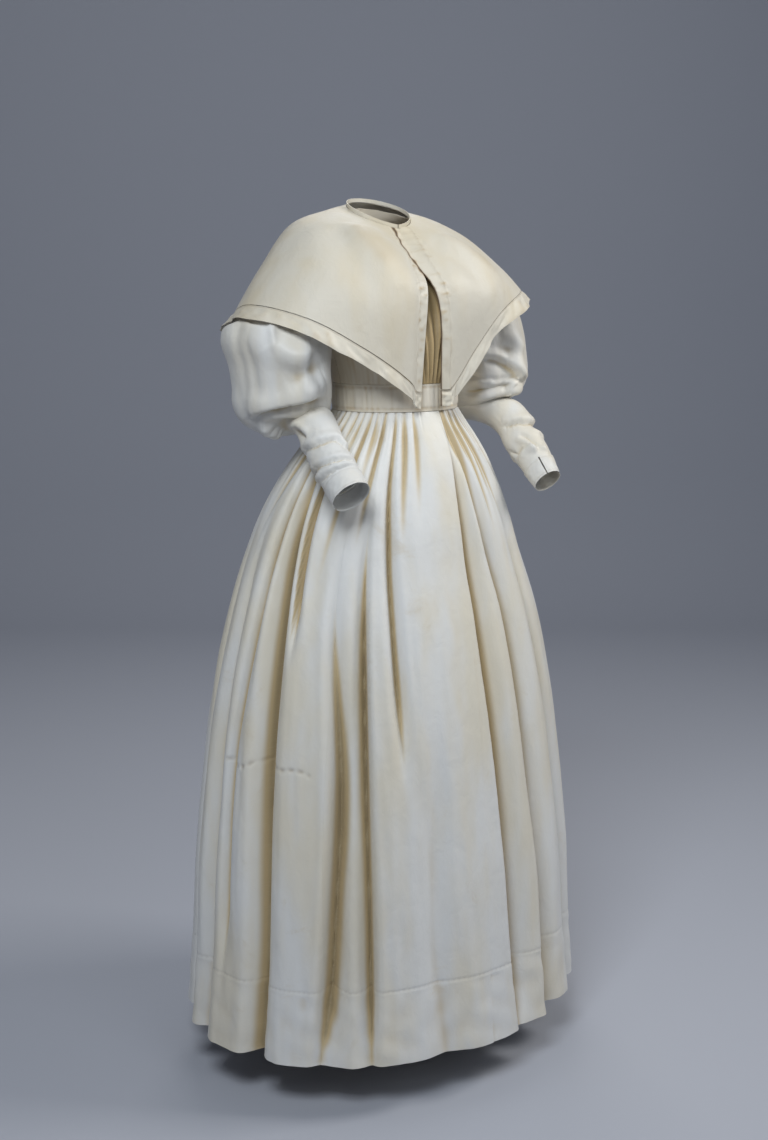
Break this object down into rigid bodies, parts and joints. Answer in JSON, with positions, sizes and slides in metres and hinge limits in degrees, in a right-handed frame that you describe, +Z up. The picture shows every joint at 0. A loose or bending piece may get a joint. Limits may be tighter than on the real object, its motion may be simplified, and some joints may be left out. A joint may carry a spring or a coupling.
{
  "type": "wedding dress",
  "caption": "Ivory silk dress of the 1830s in worn form: plain bodice, full sleeves narrowing to fitted cuffs, open-fronted pelerine cape, waistband and long gathered skirt.",
  "frame": {"origin": "centre of the neck opening, where the wearer carries the dress", "axes": "+Z up along the wearer, -Y to the wearer's front, +X to the wearer's left"},
  "size_m": [0.7151, 0.5889, 1.377],
  "materials": {
    "silk": "ivory silk with a low sheen"
  },
  "bodies": {
    "root": {"skirt_front": "silk", "skirt_side_left": "silk", "skirt_side_right": "silk", "skirt_back": "silk", "waistband": "silk", "bodice_front": "silk", "bodice_back_left": "silk", "bodice_back_right": "silk", "sleeve_left": "silk", "sleeve_right": "silk", "cuff_left": "silk", "cuff_right": "silk", "cape_left": "silk", "cape_right": "silk", "cape_border_left": "silk", "cape_border_right": "silk", "neck_band": "silk"}
  },
  "joints": []
}
